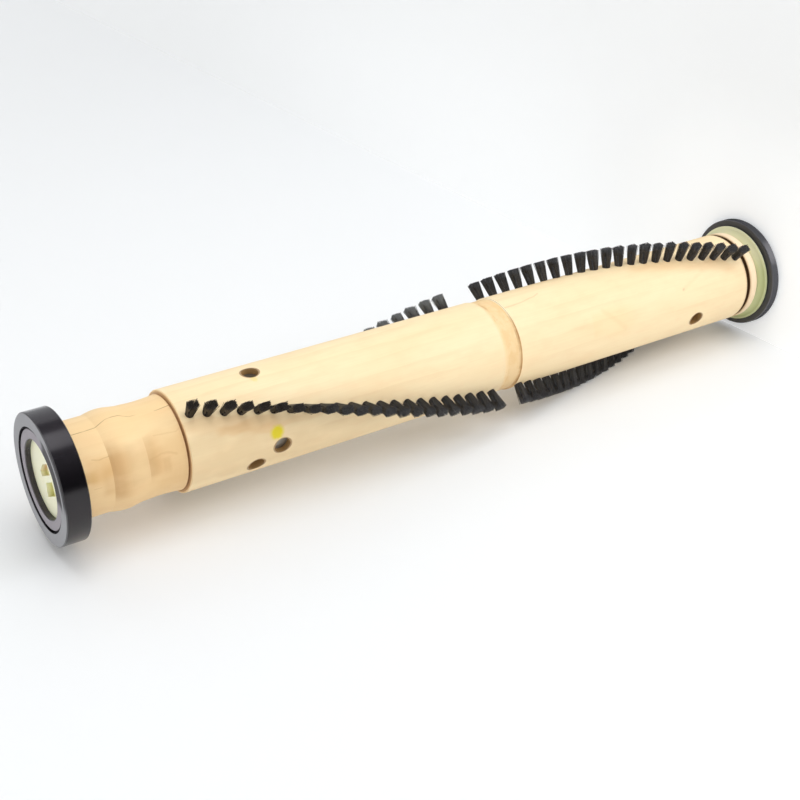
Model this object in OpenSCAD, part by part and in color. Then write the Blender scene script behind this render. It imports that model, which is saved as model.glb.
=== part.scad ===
// Vacuum brush roll: a turned wooden roll with two opposed helical rows of bristle tufts on each half,
// a crowned belt neck at the top, and a nylon end cap in a rubber ring on a ball bearing at each end.
// It stands on its lower rubber ring. Units are mm, +Z runs up the roll's axis, and the origin is at
// the middle of the foot.

/* [Roll] */
// Overall length over both rubber rings
roll_len = 330.2; // [322:0.1:345]
// Diameter of the barrel that carries the bristles
barrel_d = 38.1; // [37:0.1:41]
// Diameter of the plain neck beside the upper cap
neck_d = 34.6; // [33:0.1:35.4]
// Distance from the upper end of the roll down to the barrel's shoulder
neck_end = 47.4; // [46:0.1:52]
// Width of the burnt saw cut at the foot of the shoulder
cut_w = 0.7; // [0.5:0.1:1.2]
// Depth of the burnt saw cut below the saddle
cut_depth = 0.5; // [0.3:0.1:1]
// Small chamfer on the turned edges
edge = 0.3; // [0.1:0.1:0.6]

/* [Belt neck] */
// Distance from the upper end of the roll to the start of the belt crown
crown_start = 19.8; // [18.5:0.1:21]
// Rise of the belt crown above the neck, per side
crown_rise = 0.85; // [0.4:0.05:1.2]
// Length of the crown's short upper flank
crown_up = 5.7; // [4:0.1:7]
// Length of the crown's long lower flank
crown_down = 7.5; // [6:0.1:9]
// Depth of the saddle below the neck, per side
saddle_depth = 0.22; // [0:0.02:0.5]
// Length from the crown's foot to the bottom of the saddle
saddle_half = 5; // [3:0.1:6]
// Rise of the wood from the saddle to the shoulder, per side
flare_rise = 0.52; // [0.2:0.02:0.8]

/* [Grooves] */
// How far the middle groove lies below the middle of the barrel
mid_groove_shift = 5.3; // [0:0.1:8]
// Width of the middle groove
mid_groove_w = 8.5; // [6:0.1:10]
// Depth of the middle groove
mid_groove_depth = 0.5; // [0.3:0.05:1]
// Length of the soft upper side of the middle groove
mid_groove_ease = 2; // [1:0.1:3]
// Width of the wood collar under the burnt groove
collar_w = 3.5; // [3:0.1:5]
// Length of the slope on the lower end of the wood
end_slope = 1.7; // [1:0.1:2]
// Drop of the slope on the lower end of the wood, per side
end_drop = 1.35; // [1:0.05:1.7]
// Width of the burnt groove at the lower end
burnt_groove_w = 2.3; // [1.5:0.1:3]
// Depth of the burnt groove at the lower end
burnt_groove_depth = 1.5; // [0.8:0.1:2]

/* [Bristle tufts] */
// Turn of the helix from one tuft to the next, in degrees
tuft_turn = 4.25; // [2:0.05:5]
// Distance between tufts along the upper half
upper_pitch = 6.06; // [5.2:0.01:7]
// Distance between tufts along the lower half
lower_pitch = 5.58; // [5.2:0.01:6.2]
// Distance from the shoulder to the first tuft of the upper front row
upper_lead = 3.8; // [2.9:0.05:4.6]
// Distance from the middle groove to the first tuft of the lower front row
lower_lead = 4.25; // [3.6:0.05:5]
// Least distance from a row's last tuft to the groove below it
row_tail = 2.9; // [2.5:0.1:4]
// How far the upper back row starts above its front row
upper_stagger = 0.35; // [0:0.05:1.2]
// How far the lower back row starts above its front row
lower_stagger = 2.2; // [0:0.05:2.4]
// Angle of the upper front row's first tuft, in degrees from +X
upper_phase = -82; // [-180:0.5:180]
// Angle of the lower front row's first tuft, in degrees from +X
lower_phase = 3.6; // [-180:0.1:180]
// Diameter of a tuft where it leaves the wood
tuft_d = 3.2; // [2.6:0.1:3.6]
// Width of a tuft at its tip, where it spreads along the roll
tuft_tip_d = 4.8; // [4:0.1:5.2]
// Thickness of a tuft at its tip, across the row
tuft_across = 3.5; // [3.3:0.1:4]
// Depth of the splits between the clumps of bristle at a tuft's tip
split_depth = 3.4; // [1.5:0.1:5]
// Width of the splits at the tip
split_w = 0.35; // [0.2:0.05:0.5]
// Length of a tuft above the barrel
tuft_len = 8.25; // [6:0.05:8.6]
// Depth of a tuft's hole in the barrel
tuft_hole_depth = 8; // [6:0.5:9]
// Height of the flat wire anchor that the tuft is folded over
anchor_h = 1.6; // [1.2:0.1:2]
// Length of the flat wire anchor
anchor_len = 4; // [3.8:0.1:4.4]
// Thickness of the flat wire anchor
anchor_t = 0.35; // [0.25:0.05:0.5]
// Bristle under the anchor, at the bottom of the hole
anchor_lift = 0.8; // [0.5:0.1:1.2]

/* [Balance holes] */
// Diameter of the balance holes
balance_d = 6.35; // [5:0.05:7]
// Depth of the balance holes
balance_depth = 8; // [6:0.5:9]
// Length of the balance slugs
slug_len = 5.5; // [3:0.5:6]
// Distance from the upper end to the back slug's hole
back_slug_at = 80; // [76:0.5:84]
// Angle of the back slug's hole, in degrees from +X
back_slug_angle = -49.7; // [-60:0.1:-40]
// Distance from the upper end to the front slug's hole
front_slug_at = 83; // [80:0.5:88]
// Angle of the front slug's hole, in degrees from +X
front_slug_angle = -147; // [-152:0.5:-142]
// Distance from the upper end to the upper empty hole
upper_empty_at = 73.3; // [70:0.1:76]
// Angle of the upper empty hole, in degrees from +X
upper_empty_angle = -166.5; // [-172:0.5:-160]
// Distance from the lower end to the lower empty hole
lower_empty_at = 43.4; // [38:0.1:50]
// Angle of the lower empty hole, in degrees from +X
lower_empty_angle = -154.5; // [-160:0.5:-146]

/* [Rubber rings] */
// Outer diameter of both rubber rings
ring_d = 47.5; // [46:0.1:50]
// Width of the upper rubber ring
upper_ring_w = 8.74; // [8:0.02:10]
// Width of the lower rubber ring
lower_ring_w = 3.8; // [3.6:0.1:4.4]
// Diameter of the round mouth that shows the cap
mouth_d = 28.6; // [27:0.1:29.4]
// Depth of the lip round the mouth below the ring's face
lip_drop = 0.4; // [0.2:0.05:0.5]
// Small bevel on both edges of the lip
lip_bevel = 0.25; // [0.1:0.05:0.3]
// Inner diameter of the groove in the ring's face
face_groove_in = 36.2; // [35:0.1:37]
// Outer diameter of the groove in the ring's face
face_groove_out = 37.7; // [37.4:0.1:41]
// Depth of the groove in the upper ring's face
upper_face_groove = 2.4; // [1:0.1:2.5]
// Depth of the groove in the lower ring's face
lower_face_groove = 1.2; // [0.9:0.1:1.6]
// Depth of the recess that holds the cap below the upper ring's face
upper_recess = 2.5; // [2:0.1:3]
// Depth of the recess that holds the cap below the lower ring's face
lower_recess = 1.2; // [0.8:0.1:1.4]
// Small bevel on the ring's outer edges
ring_bevel = 0.35; // [0.2:0.05:0.6]

/* [Nylon end caps] */
// Diameter of the cap's flange that snaps into the rubber ring
flange_d = 32; // [30.5:0.1:32.5]
// Thickness of the cap's flange
flange_w = 1.2; // [1:0.1:1.4]
// Depth of the pockets moulded in the cap's face
pocket_depth = 2.1; // [1.5:0.1:2.4]
// Length of the pockets along the bar between them
pocket_len = 9.8; // [8:0.1:10.5]
// Height of the smaller pocket
small_pocket_h = 4; // [3:0.1:4.4]
// Height of the larger pocket
large_pocket_h = 5; // [4:0.1:5.4]
// Width of the bar between the pockets
pocket_bar = 2.4; // [1.8:0.1:3]
// Nylon left between the pockets and the axle pin
pocket_web = 0.8; // [0.6:0.1:1]
// Angle of the pocket bar on both caps, in degrees
pocket_angle = 107; // [0:1:180]
// Diameter of the lower cap's dish
dish_d = 42.4; // [40:0.1:44]
// Height of the lower cap's dish above its ring
dish_h = 3.1; // [2.8:0.1:3.6]
// Thickness of the dish's rim
dish_rim = 0.6; // [0.5:0.1:1]
// Height of the dish's rim above its ring
rim_lift = 0.8; // [0.6:0.1:1]
// Diameter of the dish beside the wood
dish_root_d = 34.6; // [33:0.1:35]
// Running gap between a cap and the wood
cap_gap = 0.35; // [0.25:0.05:0.6]

/* [Bearings] */
// Bore of the ball bearing
bearing_bore = 8; // [7:0.5:8]
// Outer diameter of the ball bearing
bearing_d = 22; // [20:0.5:23]
// Width of the ball bearing
bearing_w = 7; // [7:0.5:8]
// Diameter of a bearing ball
ball_d = 3.97; // [3.4:0.01:4]
// Balls in each bearing
balls = 7; // [6:1:7]
// Length of the cap's boss that bears on the inner race
boss_len = 1.5; // [1.2:0.1:2.5]
// Thickness of the bearing's shields
shield_t = 0.3; // [0.2:0.05:0.4]
// Diameter of the axle pin's head
pin_head_d = 11.2; // [10:0.1:11.6]
// Thickness of the axle pin's head
pin_head_t = 1.3; // [1:0.1:2]
// Room round the pin's head in the wood
head_room = 1.2; // [0.8:0.1:2]
// Diameter of the felt washer
felt_d = 21; // [17:0.1:21.4]
// Running gap between the felt washer and the bearing
felt_gap = 0.15; // [0.1:0.05:0.4]

/* [Fits] */
// Clearance per side between parts that are fitted together
fit_gap = 0.02; // [0.01:0.01:0.05]
// Clearance per side between balls and races
ball_gap = 0.04; // [0.02:0.01:0.08]

/* [Hidden] */
$fn = 96;
barrel_r = barrel_d / 2;
neck_r = neck_d / 2;
tip_r = barrel_r + tuft_len;
tip_crown = 0.45;
crown_top = crown_start + crown_up;
crown_foot = crown_top + crown_down;
saddle_at = crown_foot + saddle_half;
saddle_r = neck_r - saddle_depth;
flare_len = neck_end - cut_w - saddle_at;
mouth_r = mouth_d / 2;
flange_r = flange_d / 2;
ring_r = ring_d / 2;
bearing_r = bearing_d / 2;
pin_r = bearing_bore / 2 - fit_gap;
ball_r = ball_d / 2;
pitch_r = (bearing_bore + bearing_d) / 4;
inner_r = pitch_r - 0.39 * ball_d;
outer_r = pitch_r + 0.39 * ball_d;
race_r = ball_r + ball_gap;
boss_r = inner_r - 0.3;
tuft_hole_r = tuft_d / 2;
tuft_floor = barrel_r - tuft_hole_depth;
anchor_r = tuft_floor + anchor_lift;
// each end, measured inward from its outer face
upper_back = upper_ring_w;
lower_back = lower_ring_w + dish_h;
upper_wood = upper_back + cap_gap;
lower_wood = lower_back + cap_gap;
upper_seat = upper_back + boss_len;
lower_seat = lower_back + boss_len;
collar_top = lower_wood + end_slope + collar_w;
upper_pin = upper_recess + pocket_depth + pocket_web;
lower_pin = lower_recess + pocket_depth + pocket_web;
upper_flange_at = (upper_ring_w + upper_recess - flange_w) / 2;
lower_flange_at = (lower_ring_w + lower_recess - flange_w) / 2;
// the barrel runs from the shoulder to the burnt groove, with the middle groove near its middle
barrel_end = roll_len - collar_top - burnt_groove_w;
mid_groove_top = (neck_end + barrel_end - mid_groove_w) / 2 + mid_groove_shift;
mid_groove_end = mid_groove_top + mid_groove_w;
upper_start = neck_end + upper_lead;
lower_start = mid_groove_end + lower_lead;
upper_tufts = 1 + floor((mid_groove_top - row_tail - upper_start) / upper_pitch);
lower_tufts = 1 + floor((barrel_end - row_tail - lower_start) / lower_pitch);

// Puts what is modelled inward from the origin at the upper end.
module at_top() {
    translate([0, 0, roll_len]) {
        rotate([180, 0, 0]) {
            children();
        }
    }
}

// Puts a child that points along +X at a distance below the upper end, facing an angle.
module facing(at, angle) {
    translate([0, 0, roll_len - at]) {
        rotate([0, 0, angle]) {
            children();
        }
    }
}

// The helix: each tuft of a row sits one pitch lower and one turn further round.
module row(count, start, pitch, phase) {
    for (k = [0 : count - 1]) {
        facing(start + pitch * k, phase - tuft_turn * k) {
            children();
        }
    }
}

module upper_front_row() {
    row(upper_tufts, upper_start, upper_pitch, upper_phase) {
        children();
    }
}

module upper_back_row() {
    row(upper_tufts, upper_start - upper_stagger, upper_pitch, upper_phase + 180) {
        children();
    }
}

module lower_front_row() {
    row(lower_tufts, lower_start, lower_pitch, lower_phase) {
        children();
    }
}

module lower_back_row() {
    row(lower_tufts, lower_start - lower_stagger, lower_pitch, lower_phase + 180) {
        children();
    }
}

module all_rows() {
    upper_front_row() {
        children();
    }
    upper_back_row() {
        children();
    }
    lower_front_row() {
        children();
    }
    lower_back_row() {
        children();
    }
}

// The wood's outline, from the upper end down, as pairs of radius and distance from that end.
crown_rise_side = [for (i = [0 : 6]) [neck_r + crown_rise * sin(15 * i), crown_start + crown_up * i / 6]];
crown_fall_side = [for (i = [1 : 8]) [neck_r + crown_rise * pow(cos(90 * i / 8), 2), crown_top + crown_down * i / 8]];
saddle_side = [for (i = [1 : 4]) [neck_r - saddle_depth * (1 - cos(45 * i)) / 2, crown_foot + saddle_half * i / 4]];
flare_side = [for (i = [1 : 5]) [saddle_r + flare_rise * pow(i / 5, 2), saddle_at + flare_len * i / 5]];
shoulder_side = [
    [saddle_r - cut_depth, neck_end - cut_w],
    [saddle_r - cut_depth, neck_end],
    [barrel_r - edge, neck_end],
    [barrel_r, neck_end + edge]];
mid_groove_side = [
    [barrel_r, mid_groove_top],
    [barrel_r - mid_groove_depth, mid_groove_top + mid_groove_ease],
    [barrel_r - mid_groove_depth, mid_groove_end],
    [barrel_r, mid_groove_end]];
wood_foot = roll_len - lower_wood;
collar_side = [
    [barrel_r, barrel_end],
    [barrel_r - burnt_groove_depth, barrel_end + edge],
    [barrel_r - burnt_groove_depth, roll_len - collar_top - edge],
    [barrel_r, roll_len - collar_top],
    [barrel_r, wood_foot - end_slope],
    [barrel_r - end_drop, wood_foot],
    [0, wood_foot]];
wood_outline = concat([[0, upper_wood], [neck_r - edge, upper_wood], [neck_r, upper_wood + edge]],
    crown_rise_side, crown_fall_side, saddle_side, flare_side, shoulder_side, mid_groove_side,
    collar_side);

// One turned piece with its bearing seats, tuft holes, anchor slots and balance holes.
module wooden_roll() {
    color("burlywood") {
        difference() {
            at_top() {
                rotate_extrude() {
                    polygon(wood_outline);
                }
            }
            at_top() {
                bearing_seat(upper_wood, upper_seat);
            }
            bearing_seat(lower_wood, lower_seat);
            all_rows() {
                tuft_hole();
            }
            all_rows() {
                anchor();
            }
            facing(back_slug_at, back_slug_angle) {
                balance_hole();
            }
            facing(front_slug_at, front_slug_angle) {
                balance_hole();
            }
            facing(upper_empty_at, upper_empty_angle) {
                balance_hole();
            }
            facing(roll_len - lower_empty_at, lower_empty_angle) {
                balance_hole();
            }
        }
    }
}

// Room for the bearing's outer race, then for the axle pin's head behind it.
module bearing_seat(wood, seat) {
    translate([0, 0, wood - 1]) {
        cylinder(h = seat + bearing_w - wood + 1, r = bearing_r + fit_gap);
    }
    translate([0, 0, seat]) {
        cylinder(h = bearing_w + pin_head_t + 1.5, r = pin_head_d / 2 + head_room);
    }
}

module tuft_hole() {
    translate([tuft_floor, 0, 0]) {
        rotate([0, 90, 0]) {
            cylinder(h = tuft_hole_depth + 3, r = tuft_hole_r);
        }
    }
}

// Flat wire that stands on edge across the bottom of a tuft and bites into the wood.
module anchor() {
    translate([anchor_r, -anchor_t / 2, -anchor_len / 2]) {
        cube([anchor_h, anchor_t, anchor_len]);
    }
}

// The same wire with a hair of room round it, where it passes through the bristle.
module anchor_room() {
    translate([anchor_r - fit_gap, -anchor_t / 2 - fit_gap, -anchor_len / 2]) {
        cube([anchor_h + 2 * fit_gap, anchor_t + 2 * fit_gap, anchor_len]);
    }
}

module balance_hole() {
    translate([barrel_r - balance_depth, 0, 0]) {
        rotate([0, 90, 0]) {
            cylinder(h = balance_depth + 3, r = balance_d / 2);
        }
    }
}

module slug() {
    translate([barrel_r - balance_depth, 0, 0]) {
        rotate([0, 90, 0]) {
            cylinder(h = slug_len, r = balance_d / 2 - fit_gap);
        }
    }
}

// One tuft: round in its hole, then fanned out along the roll and split into clumps at its tip.
module tuft() {
    difference() {
        intersection() {
            rotate([0, 90, 0]) {
                rotate_extrude($fn = 24) {
                    polygon([
                        [0, tuft_floor + fit_gap],
                        [tuft_hole_r - fit_gap, tuft_floor + fit_gap],
                        [tuft_hole_r - fit_gap, barrel_r],
                        [tuft_tip_d / 2, tip_r - tip_crown],
                        [tuft_tip_d / 4, tip_r],
                        [0, tip_r]]);
                }
            }
            translate([0, -tuft_across / 2, -tuft_tip_d]) {
                cube([tip_r + 1, tuft_across, 2 * tuft_tip_d]);
            }
        }
        anchor_room();
        split(-tuft_tip_d * 0.2, split_depth);
        split(tuft_tip_d * 0.16, split_depth * 0.7);
    }
}

// A thin wedge taken out across a tuft's tip.
module split(at, depth) {
    rotate([90, 0, 0]) {
        linear_extrude(tuft_tip_d, center = true) {
            polygon([
                [tip_r - depth, at * 0.8],
                [tip_r + 1, at - split_w / 2],
                [tip_r + 1, at + split_w / 2]]);
        }
    }
}

module upper_front_tufts() {
    color([0.09, 0.08, 0.08]) {
        upper_front_row() {
            tuft();
        }
    }
}

module upper_back_tufts() {
    color([0.09, 0.08, 0.08]) {
        upper_back_row() {
            tuft();
        }
    }
}

module lower_front_tufts() {
    color([0.09, 0.08, 0.08]) {
        lower_front_row() {
            tuft();
        }
    }
}

module lower_back_tufts() {
    color([0.09, 0.08, 0.08]) {
        lower_back_row() {
            tuft();
        }
    }
}

module tuft_anchors() {
    color("silver") {
        all_rows() {
            anchor();
        }
    }
}

module balance_slugs() {
    color("slategray") {
        facing(back_slug_at, back_slug_angle) {
            slug();
        }
        facing(front_slug_at, front_slug_angle) {
            slug();
        }
    }
}

// A rubber ring. Its face has a narrow groove round a lip that lies a little lower,
// and its mouth has an inner groove for the cap's flange.
module rubber_ring(w, groove, flange_at) {
    color([0.12, 0.11, 0.12]) {
        rotate_extrude() {
            polygon([
                [mouth_r, lip_drop + lip_bevel],
                [mouth_r + lip_bevel, lip_drop],
                [face_groove_in / 2 - lip_bevel, lip_drop],
                [face_groove_in / 2, lip_drop + lip_bevel],
                [face_groove_in / 2, groove],
                [face_groove_out / 2, groove],
                [face_groove_out / 2, 0],
                [ring_r - ring_bevel, 0],
                [ring_r, ring_bevel],
                [ring_r, w - ring_bevel],
                [ring_r - ring_bevel, w],
                [mouth_r, w],
                [mouth_r, flange_at + flange_w + fit_gap],
                [flange_r + fit_gap, flange_at + flange_w + fit_gap],
                [flange_r + fit_gap, flange_at - fit_gap],
                [mouth_r, flange_at - fit_gap]]);
        }
    }
}

// The two pockets in a cap's face, on either side of a narrow bar.
module pockets(recess) {
    half = pocket_len / 2;
    low = pocket_bar * 0.35;
    high = pocket_bar * 0.65;
    translate([0, 0, recess - 1]) {
        rotate([0, 0, pocket_angle]) {
            linear_extrude(pocket_depth + 1) {
                polygon([
                    [-half, -low],
                    [-half, -low - small_pocket_h / 2],
                    [-half * 0.12, -low - small_pocket_h],
                    [half, -low - small_pocket_h],
                    [half, -low]]);
            }
            linear_extrude(pocket_depth + 1) {
                polygon([
                    [-half * 0.45, high],
                    [half, high],
                    [half, high + large_pocket_h],
                    [-half, high + large_pocket_h]]);
            }
        }
    }
}

module pin_hole(pin, back) {
    translate([0, 0, pin]) {
        cylinder(h = back + boss_len + 1 - pin, r = pin_r + fit_gap);
    }
}

// Nylon cap: face with pockets, flange, and a boss that bears on the inner race.
module upper_end_cap() {
    color([0.92, 0.92, 0.78]) {
        at_top() {
            difference() {
                rotate_extrude() {
                    polygon([
                        [0, upper_recess],
                        [mouth_r - fit_gap, upper_recess],
                        [mouth_r - fit_gap, upper_flange_at],
                        [flange_r, upper_flange_at],
                        [flange_r, upper_flange_at + flange_w],
                        [mouth_r - fit_gap, upper_flange_at + flange_w],
                        [mouth_r - fit_gap, upper_back],
                        [boss_r, upper_back],
                        [boss_r, upper_seat],
                        [0, upper_seat]]);
                }
                pockets(upper_recess);
                pin_hole(upper_pin, upper_back);
            }
        }
    }
}

// The lower cap adds a dish that flares out beside the wood and sits on its ring.
dish_curve = [for (i = [0 : 8])
    [dish_d / 2 - (dish_d - dish_root_d) / 2 * i / 8,
    lower_back - (dish_h - rim_lift - dish_rim) * cos(90 * i / 8)]];

module lower_end_cap() {
    rim = lower_ring_w + rim_lift;
    color([0.92, 0.92, 0.78]) {
        difference() {
            rotate_extrude() {
                polygon(concat([
                    [0, lower_recess],
                    [mouth_r - fit_gap, lower_recess],
                    [mouth_r - fit_gap, lower_flange_at],
                    [flange_r, lower_flange_at],
                    [flange_r, lower_flange_at + flange_w],
                    [mouth_r - fit_gap, lower_flange_at + flange_w],
                    [mouth_r - fit_gap, lower_ring_w],
                    [dish_d / 2 - 3, lower_ring_w],
                    [dish_d / 2 - 2, rim],
                    [dish_d / 2, rim]],
                    dish_curve,
                    [[boss_r, lower_back],
                    [boss_r, lower_seat],
                    [0, lower_seat]]));
            }
            pockets(lower_recess);
            pin_hole(lower_pin, lower_back);
        }
    }
}

module felt_washer(back) {
    color([0.35, 0.34, 0.33]) {
        translate([0, 0, back]) {
            difference() {
                cylinder(h = boss_len - felt_gap, r = felt_d / 2);
                translate([0, 0, -1]) {
                    cylinder(h = boss_len + 1, r = boss_r + fit_gap);
                }
            }
        }
    }
}

// Headed pin pressed into the cap. Its head keeps the inner race on.
module axle_pin(pin, seat) {
    color("silver") {
        translate([0, 0, pin]) {
            cylinder(h = seat + bearing_w - pin, r = pin_r);
        }
        translate([0, 0, seat + bearing_w]) {
            cylinder(h = pin_head_t, r = pin_head_d / 2);
        }
    }
}

module ball_track() {
    translate([pitch_r, bearing_w / 2]) {
        circle(r = race_r, $fn = 48);
    }
}

module inner_race(seat) {
    color("gainsboro") {
        translate([0, 0, seat]) {
            rotate_extrude() {
                difference() {
                    translate([bearing_bore / 2, 0]) {
                        square([inner_r - bearing_bore / 2, bearing_w]);
                    }
                    ball_track();
                }
            }
        }
    }
}

// The outer race has a step at each side for the shields.
module outer_race(seat) {
    color("gainsboro") {
        translate([0, 0, seat]) {
            rotate_extrude() {
                difference() {
                    translate([outer_r, 0]) {
                        square([bearing_r - outer_r, bearing_w]);
                    }
                    ball_track();
                    translate([outer_r - 1, -1]) {
                        square([1.5, 1 + shield_t]);
                    }
                    translate([outer_r - 1, bearing_w - shield_t]) {
                        square([1.5, 1 + shield_t]);
                    }
                }
            }
        }
    }
}

module ball_ring(seat, r) {
    for (k = [0 : balls - 1]) {
        rotate([0, 0, 360 / balls * k]) {
            translate([pitch_r, 0, seat + bearing_w / 2]) {
                sphere(r = r, $fn = 24);
            }
        }
    }
}

module bearing_balls(seat) {
    color("white") {
        ball_ring(seat, ball_r);
    }
}

// Crown cage: a ring with a round pocket for each ball.
module ball_cage(seat) {
    color("khaki") {
        difference() {
            translate([0, 0, seat + bearing_w / 2 - ball_r - 0.5]) {
                rotate_extrude() {
                    translate([pitch_r - 0.85, 0]) {
                        square([1.7, ball_r + 1.4]);
                    }
                }
            }
            ball_ring(seat, ball_r + 0.06);
        }
    }
}

module bearing_shields(seat) {
    color("lightgray") {
        translate([0, 0, seat]) {
            shield();
        }
        translate([0, 0, seat + bearing_w - shield_t]) {
            shield();
        }
    }
}

module shield() {
    rotate_extrude() {
        translate([inner_r + 0.15, 0]) {
            square([outer_r + 0.5 - fit_gap - inner_r - 0.15, shield_t]);
        }
    }
}

module upper_rubber_ring() {
    at_top() {
        rubber_ring(upper_ring_w, upper_face_groove, upper_flange_at);
    }
}

module lower_rubber_ring() {
    rubber_ring(lower_ring_w, lower_face_groove, lower_flange_at);
}

module upper_felt_washer() {
    at_top() {
        felt_washer(upper_back);
    }
}

module lower_felt_washer() {
    felt_washer(lower_back);
}

module upper_axle_pin() {
    at_top() {
        axle_pin(upper_pin, upper_seat);
    }
}

module lower_axle_pin() {
    axle_pin(lower_pin, lower_seat);
}

module upper_inner_race() {
    at_top() {
        inner_race(upper_seat);
    }
}

module lower_inner_race() {
    inner_race(lower_seat);
}

module upper_outer_race() {
    at_top() {
        outer_race(upper_seat);
    }
}

module lower_outer_race() {
    outer_race(lower_seat);
}

module upper_bearing_balls() {
    at_top() {
        bearing_balls(upper_seat);
    }
}

module lower_bearing_balls() {
    bearing_balls(lower_seat);
}

module upper_ball_cage() {
    at_top() {
        ball_cage(upper_seat);
    }
}

module lower_ball_cage() {
    ball_cage(lower_seat);
}

module upper_bearing_shields() {
    at_top() {
        bearing_shields(upper_seat);
    }
}

module lower_bearing_shields() {
    bearing_shields(lower_seat);
}

wooden_roll();
upper_front_tufts();
upper_back_tufts();
lower_front_tufts();
lower_back_tufts();
tuft_anchors();
balance_slugs();
upper_rubber_ring();
upper_end_cap();
upper_felt_washer();
upper_axle_pin();
upper_inner_race();
upper_outer_race();
upper_bearing_balls();
upper_ball_cage();
upper_bearing_shields();
lower_rubber_ring();
lower_end_cap();
lower_felt_washer();
lower_axle_pin();
lower_inner_race();
lower_outer_race();
lower_bearing_balls();
lower_ball_cage();
lower_bearing_shields();
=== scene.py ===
# %% [markdown]
# # A vacuum brush roll
# The roll is a turned maple stick with rows of black bristle tufts, a grooved rubber ring at each end
# and a nylon cap in each ring. Its solids come packed from the CAD part and stay where they are. This
# lesson gives them their finishes, and makes the one thing that solids can't show: loose bristles.
# Everything is in metres and in the frame of the part, which stands on its lower ring.

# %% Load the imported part
import math
import random

import bmesh
import bpy
from mathutils import Matrix, Vector


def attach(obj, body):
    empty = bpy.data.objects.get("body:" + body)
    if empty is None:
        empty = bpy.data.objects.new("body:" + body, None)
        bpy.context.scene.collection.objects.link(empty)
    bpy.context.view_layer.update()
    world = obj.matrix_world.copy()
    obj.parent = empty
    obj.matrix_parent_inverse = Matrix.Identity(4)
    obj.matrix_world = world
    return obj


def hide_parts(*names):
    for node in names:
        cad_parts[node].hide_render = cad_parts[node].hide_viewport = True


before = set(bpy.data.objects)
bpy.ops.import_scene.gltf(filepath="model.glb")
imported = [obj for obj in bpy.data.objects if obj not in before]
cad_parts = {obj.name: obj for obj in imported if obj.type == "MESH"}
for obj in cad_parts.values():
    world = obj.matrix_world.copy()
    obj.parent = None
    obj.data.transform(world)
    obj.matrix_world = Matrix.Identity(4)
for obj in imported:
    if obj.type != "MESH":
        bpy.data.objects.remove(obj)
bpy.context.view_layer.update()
MM = 0.001

# %% [markdown]
# ## Directions
# The photograph shows the roll lying on a table. The part stands on its end, so the picture is turned
# instead: `table_up` points away from that table, and `to_viewer` points to the side that faces the
# camera. An angle round the roll in the photograph becomes an angle about +Z here.

# %% Name the directions of the picture
roll_len = 330.2
table_up = Vector((1, -1, 0)).normalized()
to_viewer = Vector((-1, -1, 0)).normalized()


def in_picture(front, up, height):
    """A point given by its distances from the axis towards the viewer and off the table, and its height."""
    return front * to_viewer + up * table_up + Vector((0, 0, height))


print("table_up x to_viewer is", [round(value, 3) for value in to_viewer.cross(table_up)])

# %% [markdown]
# ## Camera
# A camera can be placed by hand until the outlines agree, or its place can be solved from round
# things whose real size is known. Both rubber rings show as ellipses, so their shapes fix the place,
# the tilt and the lens at once. The values below are the result, as a place, a line of sight and the
# direction that is up in the picture. A matrix takes them without any rounding through angles.

# %% Aim the camera
camera_place = Vector((-0.1100, -0.4514, 0.4486))
sight = Vector((0.1876, 0.8519, -0.4889)).normalized()
picture_up = Vector((0.9008, -0.3477, -0.2601))
picture_right = sight.cross(picture_up).normalized()
picture_up = picture_right.cross(sight)
lens = bpy.data.cameras.new("camera")
lens.lens = 61.96
lens.sensor_width = 36
camera = bpy.data.objects.new("camera", lens)
bpy.context.collection.objects.link(camera)
camera.matrix_world = Matrix.Translation(camera_place) @ Matrix(
    (picture_right, picture_up, -sight)).transposed().to_4x4()
bpy.context.scene.camera = camera
print("distance to the middle of the roll in mm:",
      round((camera_place - Vector((0, 0, roll_len * MM / 2))).length / MM))

# %% [markdown]
# ## Shader maths in plain Python
# A node tree is easier to read as a formula. `Wire` wraps a node's output and adds a Math node for
# each sign. `Finish` holds one material and makes every other node through one method, which takes
# the settings first and then the sockets.


# %% Wrap sockets and materials
class Wire:
    """An output socket that takes part in sums."""

    def __init__(self, finish, socket):
        self.finish, self.socket = finish, socket

    def __add__(self, other):
        return self.finish.math("ADD", self, other)

    def __sub__(self, other):
        return self.finish.math("SUBTRACT", self, other)

    def __rsub__(self, other):
        return self.finish.math("SUBTRACT", other, self)

    def __mul__(self, other):
        return self.finish.math("MULTIPLY", self, other)

    def __truediv__(self, other):
        return self.finish.math("DIVIDE", self, other)

    def __pow__(self, other):
        return self.finish.math("POWER", self, other)

    __radd__, __rmul__ = __add__, __mul__


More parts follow.
